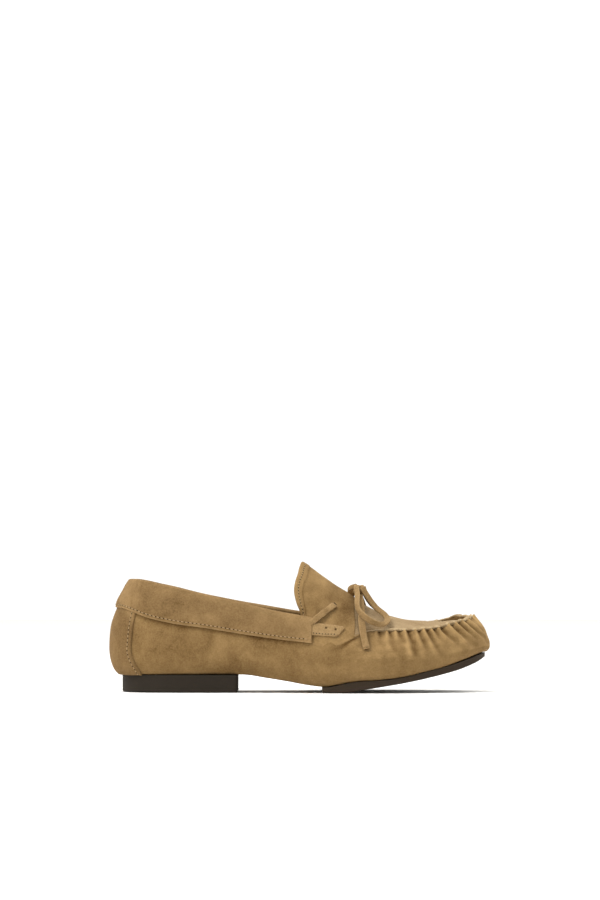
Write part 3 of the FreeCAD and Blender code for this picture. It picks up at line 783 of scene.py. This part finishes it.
def saddle_and_tongue():
    turns, shares = np.linspace(-1, 1, 241), np.linspace(0, 1, 131)
    share, turn = np.meshgrid(shares, turns, indexing="ij")
    outer, x, z, behind = saddle_point(turn, share, 0.0)
    inner = saddle_point(turn, share, -1.5)[0]
    # Painted shade in a thin dark line along the hem's inner edge, where the hem steps down; the hem band is
    # a little lighter.
    tone = 0.10 - 0.28 * bell(behind - HEM_WIDTH, 0.7) + 0.10 * (1 - smooth(0, HEM_WIDTH, behind))
    # Painted highlight along the lapped lower edge towards the front.
    lower = 1 - smooth(0, 2.5, z - blend_sides(np.where(turn < 0, LATERAL, MEDIAL), SADDLE_LOW, x))
    tone = tone + 0.12 * lower * smooth(26, 36, x)
    cloudy = 0.2 * waves(x, z, 33, spread=1.6) + 0.12 * waves(x, z, 34, spread=0.5)
    tone = tone + cloudy * smooth(4, 12, behind)
    points, faces = slab(outer, inner, bulge=0.6)
    obj = piece("saddle_and_tongue", points, faces, BODY_SUEDE, body=None,
                tone=slab_tone(tone, 0.2), nodes=["saddle", "tongue"])
    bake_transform(obj)


saddle_and_tongue()


# ---- collar, back strip and lace tabs ----

COLLAR_OFF = curve((0, 1.5), (0.1, 2.2), (0.4, 3.1), (0.8, 3.2), (1, 2.7))


def round_heel(x, count):
    """Outline places from one side to the other round the heel, between the same x on both sides."""
    return np.linspace(u_at(MEDIAL, x) - 1, u_at(LATERAL, x), count)


def collar_outer(u, share):
    side, x = place(u)[:2]
    low = COLLAR_LOW(x)
    top = blend_sides(side, TOPLINE, x) - 1.5
    z = low + (top - low) * share
    ripple = 0.22 * waves(x + side * 90, z, 41) * smooth(0.05, 0.3, share)
    over_strip = 1.1 * (1 - smooth(0.05, 0.1, np.abs(u))) * (1 - smooth(0.2, 0.7, share))
    rounded = -0.4 * (1 - smooth(0.0, 0.035, np.abs(u))) * smooth(0.7, 1.0, share)
    return z + rounded, COLLAR_OFF(share) + ripple + over_strip + heel_tuck(u, z)


def collar():
    columns = 501
    u = round_heel(COLLAR_FRONT_X, columns)
    side, x = place(u)[:2]
    rows, tones = [], []
    z, off = collar_outer(u, 0.0)
    # Painted highlight along the collar's stepped low edge.
    for step, out in ((0.9, 0.1), (0.15, 0.3), (0.0, 0.9)):
        rows.append(skin(u, z + step, out + heel_tuck(u, z)))
        tones.append(np.full(columns, 0.3))
    for share in np.linspace(0, 1, 34):
        z, off = collar_outer(u, share)
        up = z + (0.35 if share == 0 else 0)
        rows.append(skin(u, up, off))
        # Painted highlight along the low edge, and a faint one at the top; the front part is a little
        # lighter.
        edges = 0.35 * bell(share, 0.045) + 0.05 * bell(share - 1, 0.1)
        tones.append(edges + 0.16 * smooth(-60, -20, x))
    z, off = collar_outer(u, 1.0)
    inside = -3.1 + heel_tuck(u, z)
    middle, radius = (off + inside) / 2, (off - inside) / 2
    for angle in np.linspace(0.3, np.pi, 9):
        rows.append(skin(u, z + 1.5 * np.sin(angle), middle + radius * np.cos(angle)))
        tones.append(np.full(columns, 0.12))
    for drop in np.linspace(1.0, 11.0, 7):
        rows.append(skin(u, z - drop, inside - 0.03 * drop))
        tones.append(np.full(columns, -0.1))
    rows.append(skin(u, z - 11.0, inside + 1.0))
    tones.append(np.full(columns, -0.1))
    points = np.stack(rows)
    first_column = [r * columns for r in range(len(rows))]
    faces = grid_faces(len(rows), columns)
    faces += [tuple(first_column), tuple(i + columns - 1 for i in first_column)]
    piece("collar_leather", points, faces, COLLAR_SUEDE, tone=np.stack(tones),
          nodes=["collar_band", "collar_lace"])
    z = COLLAR_LOW(x) + 2.3
    top = blend_sides(side, TOPLINE, x) - 1.5
    off = collar_outer(u, (z - COLLAR_LOW(x)) / (top - COLLAR_LOW(x)))[1]
    away_from_ends = slice(4, -4)
    stitches(skin(u, z, off + 0.02)[away_from_ends], normals(u, z)[away_from_ends])


collar()

BACK_EDGE = curve((12, -117.6), (14, -118.8), (22.8, -124), (29.5, -126.2), (39.3, -125.9), (49, -124.9),
                  (60, -123.0), (68, -122))


def edge_place(z, x):
    """The outline place, on the outer side near the heel, where the wall at height z has this x."""
    spread = np.linspace(0, 0.25, 400)
    return float(np.interp(x, base(spread, np.full(400, z))[:, 0], spread))


def back_strip():
    rows, columns = 40, 81
    low, top = float(UNDERSIDE(-130.0)) + 0.6, 67.0
    heights = np.linspace(low, top, rows)
    reach = np.array([edge_place(z, float(BACK_EDGE(z))) for z in heights])
    u = np.linspace(-1, 1, columns)[None, :] * reach[:, None]
    z = np.broadcast_to(heights[:, None], u.shape)
    outer, inner = skin(u, z, 1.35 + heel_tuck(u, z)), skin(u, z, heel_tuck(u, z) - 0.4)
    points, faces = slab(outer, inner, bulge=0.5)
    tone = np.full(u.shape, -0.08)
    piece("back_strip_leather", points, faces, COLLAR_SUEDE, tone=slab_tone(tone, 0.12),
          nodes=["back_strip"])
    shown = heights < 61
    for sign in (-1, 1):
        line_u = np.array([sign * edge_place(h, float(BACK_EDGE(h)) - 2.2) for h in heights[shown]])
        line = skin(line_u, heights[shown], 1.4 + heel_tuck(line_u, heights[shown]))
        stitches(line, normals(line_u, heights[shown]))


back_strip()


def inside_loop(points, loop):
    """Which plan points lie inside a closed loop."""
    inside = np.zeros(len(points), bool)
    for (ax, ay), (bx, by) in zip(loop, np.roll(loop, -1, axis=0)):
        crosses = (ay > points[:, 1]) != (by > points[:, 1])
        meets = ax + (points[:, 1] - ay) / (by - ay if by != ay else 1e-9) * (bx - ax)
        inside ^= crosses & (points[:, 0] < meets)
    return inside


TAB_TOP = curve((6.5, 51.0), (14, 50.3), (24, 48.9), (30, 47.9))
TAB_LOW = curve((6.5, 42.6), (14, 41.6), (24, 40.9))
TAB_NOSE = [(27.6, 41.5), (30.0, 43.9), (31.9, 46.2), (31.6, 47.4)]
TAB_HOLES = [(18.6, 46.9), (25.6, 45.7)]
TAB_HOLE_RADIUS = 0.85


def lace_tab(side, node):
    """The pointed tab in front of the collar, with its two punched holes."""
    rise = 0.0 if side == LATERAL else 1.5
    low = [(x, float(TAB_LOW(x))) for x in np.linspace(6.5, 26.0, 22)]
    top = [(x, float(TAB_TOP(x))) for x in np.linspace(30.6, 6.5, 26)]
    outline = np.array(low + TAB_NOSE + top)
    turns = np.linspace(0, 2 * np.pi, 14, endpoint=False)
    circle = TAB_HOLE_RADIUS * np.stack([np.cos(turns), np.sin(turns)], -1)
    rings = [np.array(hole) + circle for hole in TAB_HOLES]
    field = np.array([(x, z) for x in np.arange(7.2, 32, 0.8) for z in np.arange(41, 51, 0.8)])
    keep = inside_loop(field, outline)
    for cx, cz in TAB_HOLES:
        keep &= np.hypot(field[:, 0] - cx, field[:, 1] - cz) > TAB_HOLE_RADIUS + 0.4
    for px, pz in outline:
        keep &= np.hypot(field[:, 0] - px, field[:, 1] - pz) > 0.5
    loops = [outline] + rings
    flat = np.concatenate(loops + [field[keep]])
    edges, start = [], 0
    for loop in loops:
        edges += [(start + k, start + (k + 1) % len(loop)) for k in range(len(loop))]
        start += len(loop)
    made = geometry.delaunay_2d_cdt(flat.tolist(), edges, [], 1, 1e-5)
    flat = np.array([tuple(p) for p in made[0]])
    triangles = []
    for face in made[2]:
        centre = flat[list(face)].mean(0)
        in_hole = any(np.hypot(*(centre - hole)) < TAB_HOLE_RADIUS * 0.9 for hole in np.array(TAB_HOLES))
        if not in_hole:
            triangles.append(tuple(face))
    count = len(flat)
    u = u_at(side, flat[:, 0])
    z = flat[:, 1] + rise
    outer, inner = skin(u, z, 2.5), skin(u, z, 1.0)
    faces = triangles + [tuple(count + i for i in face) for face in triangles]
    sides = [pair for face in triangles for pair in zip(face, face[1:] + face[:1])]
    shared = {(b, a) for a, b in sides}
    faces += [(a, b, count + b, count + a) for a, b in sides if (a, b) not in shared]
    piece("tab_leather_" + node.split("_")[-1], np.concatenate([outer, inner]), faces, LACE_SUEDE,
          tone=np.full(2 * count, 0.08), nodes=[node])
    line = np.array([(x, float(TAB_LOW(x)) + 1.3 + rise) for x in np.linspace(9.5, 26.5, 30)])
    line_u = u_at(side, line[:, 0])
    stitches(skin(line_u, line[:, 1], 2.52), normals(line_u, line[:, 1]), pitch=2.2, thread=(1.4, 0.5, 0.4))


lace_tab(LATERAL, "lace_tab_lateral")
lace_tab(MEDIAL, "lace_tab_medial")


# ---- stitches of the tongue's hem ----

for sign in (-1, 1):
    turns = np.linspace(0.96, 0.10, 120) * sign
    rear = saddle_point(turns, np.zeros(turns.shape), 0.0)[1]
    inset = TONGUE_STITCH / (SADDLE_FRONT_X - rear)
    line = saddle_point(turns, inset, 0.05)[0]
    side = np.where(turns < 0, LATERAL, MEDIAL)
    ups = normals(u_at(side, line[:, 0]), line[:, 2])
    stitches(line, ups, pitch=2.6, thread=(1.7, 0.5, 0.4))

tongue_parts = (threads[-2:], needle_holes[-2:])
del threads[-2:], needle_holes[-2:]


# ---- lace ----


def ribbon_mesh(path, hints, width, thickness, seed):
    """Points, faces and tone of a soft flat lace along a path, its flat side facing the hints."""
    path = np.asarray(path)
    hints = np.asarray(hints, float)
    count = len(path)
    spread = np.linspace(0, len(hints) - 1, count)
    faced = np.stack([np.interp(spread, np.arange(len(hints)), hints[:, k]) for k in range(3)], -1)
    ahead = unit(np.gradient(path, axis=0))
    up = unit(faced - ahead * np.sum(faced * ahead, -1, keepdims=True))
    across = np.cross(ahead, up)
    steps = np.linspace(0, 1, count)
    wide = width / 2 * (1 + 0.06 * waves(steps * 90, 0.0, seed))
    deep = thickness / 2 * (1 + 0.10 * waves(steps * 70, 0.0, seed + 1))
    around = 20
    turns = np.linspace(0, 2 * np.pi, around, endpoint=False)
    cos = np.sign(np.cos(turns)) * np.abs(np.cos(turns)) ** 0.45
    sin = np.sign(np.sin(turns)) * np.abs(np.sin(turns)) ** 0.65
    rings = (
        path[:, None]
        + across[:, None] * (wide[:, None, None] * cos[None, :, None])
        + up[:, None] * (deep[:, None, None] * sin[None, :, None])
    )
    faces = grid_faces(count, around, wrap=True) + end_caps(count, around)
    cut_edge = 0.28 * np.abs(np.cos(turns))[None, :] ** 3
    tone = cut_edge + 0.12 * waves(steps * 60, 0.0, seed + 2)[:, None]
    return rings.reshape(-1, 3), faces, tone.ravel()


def nurbs_line(points):
    """The smooth line a cord's points give, in millimetres."""
    data = bpy.data.curves.new("route", "CURVE")
    data.dimensions = "3D"
    data.resolution_u = 10
    spline = data.splines.new("NURBS")
    spline.points.add(len(points) - 1)
    for spot, point in zip(spline.points, points):
        spot.co = (point[0] * MM, point[1] * MM, point[2] * MM, 1)
    spline.order_u = 3
    spline.use_endpoint_u = True
    holder = bpy.data.objects.new("route", data)
    bpy.context.scene.collection.objects.link(holder)
    mesh = bpy.data.meshes.new_from_object(holder)
    line = np.array([v.co for v in mesh.vertices]) / MM
    bpy.data.objects.remove(holder)
    bpy.data.curves.remove(data)
    bpy.data.meshes.remove(mesh)
    return line


LACE_WIDTH = 4.2
LACE_THICKNESS = 1.9
ROUTES = {
    "bow_loop_lateral": [
        (41.8, -4.4, 77.6), (42.6, -11.4, 72.2), (41.8, -18.6, 66.8), (42.4, -25.6, 61.8),
        (46.0, -32.0, 57.4), (51.6, -35.4, 52.8), (57.6, -34.0, 50.4), (63.0, -29.0, 50.8),
        (65.2, -21.6, 53.8), (62.8, -14.6, 57.8), (57.0, -9.8, 61.8), (52.8, -7.6, 67.0),
        (49.0, -6.4, 73.0), (45.9, -4.6, 77.8),
    ],
    "bow_tail_lateral": [
        (43.8, -5.5, 72.0), (44.6, -9.8, 67.6), (45.0, -15.4, 63.0), (45.4, -21.0, 58.4), (45.2, -27.4, 54.2),
        (45.6, -33.4, 49.4), (46.4, -40.4, 42.6), (48.6, -47.4, 33.0),
    ],
    "bow_loop_medial": [
        (41.4, 8.4, 78.4), (36.4, 13.0, 77.4), (36.2, 19.4, 73.4), (38.6, 26.6, 69.4), (42.0, 33.2, 64.6),
        (46.4, 36.8, 60.0), (53.6, 37.2, 57.6), (59.8, 33.0, 56.6), (61.0, 25.6, 57.6), (57.6, 18.8, 61.0),
        (52.2, 14.4, 66.0), (48.6, 11.6, 72.0), (46.8, 8.8, 78.0),
    ],
    "bow_tail_medial": [
        (43.6, 9.3, 71.2), (45.6, 13.4, 67.4), (47.2, 19.0, 63.0), (47.0, 25.0, 58.3), (46.4, 30.6, 52.8),
        (46.8, 36.0, 47.4), (47.8, 41.0, 41.8),
    ],
}
# Which way each lace's flat side faces along it, its body, its real length in metres, and how it ends
LACES = {
    "bow_loop_lateral": (
        [(-0.3, -1, 0.3), (-0.5, -1, 0), (-0.2, -1, 0.3), (0.2, -0.9, 0.5), (0.5, -1, 0.4)],
        "bow_lateral", 0.1033, "object",
    ),
    "bow_tail_lateral": (
        [(0, -1, 0.6), (0.1, -1, 0.8), (0, -1, 0.5), (0, -1, 0.6)],
        "bow_lateral", 0.0564, "bare",
    ),
    "bow_loop_medial": (
        [(-0.4, -1, 0.5), (-0.9, -0.5, 0.5), (-0.8, 0.8, 0.3), (0.4, 0.6, 0.9), (0, 0.6, 0.8)],
        "bow_medial", 0.0925, "object",
    ),
    "bow_tail_medial": (
        [(0, 1, 0.6), (0.1, 1, 0.8), (0, 1, 0.5), (0, 1, 0.6)],
        "bow_medial", 0.0449, "bare",
    ),
}
LOOP_WIDTH, TAIL_WIDTH = 4.2, 5.2

for number, (name, route) in enumerate(ROUTES.items()):
    hints, body, length, far_end = LACES[name]
    line = nurbs_line(route)
    width = TAIL_WIDTH if far_end == "bare" else LOOP_WIDTH
    points, faces, tone = ribbon_mesh(line, hints, width, LACE_THICKNESS, 50 + number)
    lace = piece(name + "_lace", points, faces, LACE_SUEDE, body=body, tone=tone, nodes=[name],
                 weld=False)


def knot():
    """The knot: a lace wrapped twice round the others, over the two ends that come up from the saddle."""
    centre = np.array([43.6, 2.0, 75.8])
    parts = []
    turn = np.linspace(0, 2 * np.pi, 49)
    for shift, lean, radius in ((-1.9, 0.16, 3.1), (2.0, -0.12, 2.8)):  # the two wraps
        ring = np.stack([
            centre[0] + shift + lean * radius * np.sin(turn),
            centre[1] + radius * 1.25 * np.cos(turn),
            centre[2] + radius * np.sin(turn),
        ], -1)
        outward = unit(ring - centre - np.array([shift, 0, 0]))
        parts.append(ribbon_mesh(ring, outward, LACE_WIDTH + 0.1, LACE_THICKNESS, 60))
    core = np.stack([np.full(9, centre[0]), np.linspace(-4.6, 8.6, 9), np.full(9, centre[2] + 1.2)], -1)
    parts.append(ribbon_mesh(core, [(0, 0, 1)], 4.4, 3.2, 62))
    for y in (centre[1] - 2.3, centre[1] + 2.3):
        leg = np.stack([np.linspace(35.6, 41.9, 9), np.full(9, y), np.linspace(71.6, 74.8, 9)], -1)
        parts.append(ribbon_mesh(leg, [(-0.2, -1, 0.3)], 5.0, 2.0, 64))
    points, faces = merge([part[:2] for part in parts])
    in_shade = -1.3  # the ends under the knot
    tone = np.concatenate([part[2] for part in parts[:3]] + [part[2] + in_shade for part in parts[3:]])
    piece("knot_lace", points, faces, LACE_SUEDE, tone=tone, nodes=["lace_knot"], weld=False)


knot()


def lace_span(side, node):
    """The lace between the collar's front end and the slot in the saddle."""
    rise = 0.0 if side == LATERAL else 1.8
    rear_x, rear_z, front_x, front_z = 6.4, 50.0, 25.1, 64.2
    share = np.linspace(0, 1, 41)
    z = rear_z + rise + (front_z - rear_z) * share
    u = u_at(side, rear_x + (front_x - rear_x) * share)
    into_slot = 2.6 * smooth(0.93, 1.0, share)
    under_collar = 1.2 * (1 - smooth(0, 0.1, share))
    path = skin(u, z, 2.4 + 0.9 * np.sin(np.pi * share) - into_slot - under_collar)
    points, faces, tone = ribbon_mesh(path, normals(u, z), 4.5, LACE_THICKNESS, 70 + side)
    piece("span_lace_" + node.split("_")[-1], points, faces, LACE_SUEDE, tone=tone,
          nodes=[node], weld=False)
    # A dark grain of painted shade stands for the slot's opening.
    slot_u, slot_z = u_at(side, front_x + 0.7), front_z + 0.4 + rise
    spot = skin(slot_u, slot_z, 0.35)[None]
    outward = normals(slot_u, slot_z)[None]
    needle_holes.append(grains(spot, unit(np.array([[0.75, 0, -1.0]])), outward, (4.6, 1.6, 1.2)))


lace_span(LATERAL, "lace_span_lateral")
lace_span(MEDIAL, "lace_span_medial")


# ---- threads and holes ----

for name, parts, material in (("seam_threads", threads, THREAD), ("needle_holes", needle_holes, HOLE)):
    points, faces = merge(parts)
    piece(name, points, faces, material, weld=False)
for name, parts, material in zip(("tongue_threads", "tongue_needle_holes"), tongue_parts, (THREAD, HOLE)):
    points, faces = merge(parts)
    obj = piece(name, points, faces, material, body=None, weld=False)
    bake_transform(obj)


# ---- CAD pieces that show as they are ----

SHOWN = {
    "heel_block": HEEL_RUBBER, "heel_top_lift": HEEL_RUBBER, "half_sole": SOLE_RUBBER, "sock_liner": LINING,
    "insole_board": BOARD, "heel_lining": LINING, "heel_counter": BOARD, "waist_shank": STEEL,
    "heel_nails": STEEL,
}
for name, material in SHOWN.items():
    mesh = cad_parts[name].data
    mesh.materials.clear()
    mesh.materials.append(material)


# ---- studio ----

FLOOR_REACH = 3.5
corners = [(x * FLOOR_REACH, y * FLOOR_REACH, 0) for x, y in ((-1, -1), (1, -1), (1, 1), (-1, 1))]
floor_mesh = bpy.data.meshes.new("floor")
floor_mesh.from_pydata(corners, [], [(0, 1, 2, 3)])
floor = bpy.data.objects.new("floor", floor_mesh)
floor.location.z = -0.0004  # just under the heel
bpy.context.scene.collection.objects.link(floor)
floor_mesh.materials.append(plain("floor", (246, 245, 242), 0.9, spots=0.0))

# The backdrop behind the shoe is white. The side the photograph is taken from is dimmer, for soft modelling.
BACK_LIGHT, FRONT_LIGHT = 1.12, 0.6
world = bpy.data.worlds.new("studio")
world.use_nodes = True
studio = world.node_tree
direction = studio.nodes.new("ShaderNodeTexCoord").outputs["Generated"]
heading = add(studio, "ShaderNodeSeparateXYZ", Vector=direction)
fade = studio.nodes.new("ShaderNodeMapRange")
fade.interpolation_type = "SMOOTHSTEP"
for socket, value in zip(fade.inputs[1:5], (-0.5, 0.25, FRONT_LIGHT, BACK_LIGHT)):
    socket.default_value = value
studio.links.new(heading.outputs["Y"], fade.inputs[0])
backdrop = studio.nodes["Background"]
backdrop.inputs["Color"].default_value = (1.0, 0.995, 0.98, 1)
studio.links.new(fade.outputs[0], backdrop.inputs["Strength"])
bpy.context.scene.world = world


def softbox(name, place_at, look_at, size, power):
    light = bpy.data.lights.new(name, "AREA")
    light.shape = "RECTANGLE"
    light.size, light.size_y = size
    light.energy = power
    obj = bpy.data.objects.new(name, light)
    obj.location = place_at
    direction = Vector(look_at) - Vector(place_at)
    obj.rotation_euler = direction.to_track_quat("-Z", "Y").to_euler()
    bpy.context.scene.collection.objects.link(obj)


softbox("key", (-0.7, -0.6, 1.2), (0, 0, 0.05), (0.6, 0.6), 18)
softbox("top", (0.1, 0.2, 1.5), (0, 0, 0.05), (1.2, 0.8), 8)
softbox("ceiling", (0, 0, 3.2), (0, 0, 0), (7.0, 7.0), 75)

camera = bpy.data.cameras.new("camera")
camera.sensor_width = 36.0
EYE_DISTANCE, EYE_LEVEL, AIM_LEVEL = 3.0, 0.100, 0.1806
FRAME_HEIGHT = 0.6732  # what the picture's height spans at the shoe
camera.lens = camera.sensor_width * EYE_DISTANCE / FRAME_HEIGHT
shot = bpy.data.objects.new("camera", camera)
shot.location = (-0.0006, -EYE_DISTANCE - 0.015, EYE_LEVEL)
pitch = math.atan((AIM_LEVEL - EYE_LEVEL) / EYE_DISTANCE)
shot.rotation_euler = (math.pi / 2 + pitch, 0, 0)
bpy.context.scene.collection.objects.link(shot)
bpy.context.scene.camera = shot
bpy.context.scene.view_settings.view_transform = "Standard"
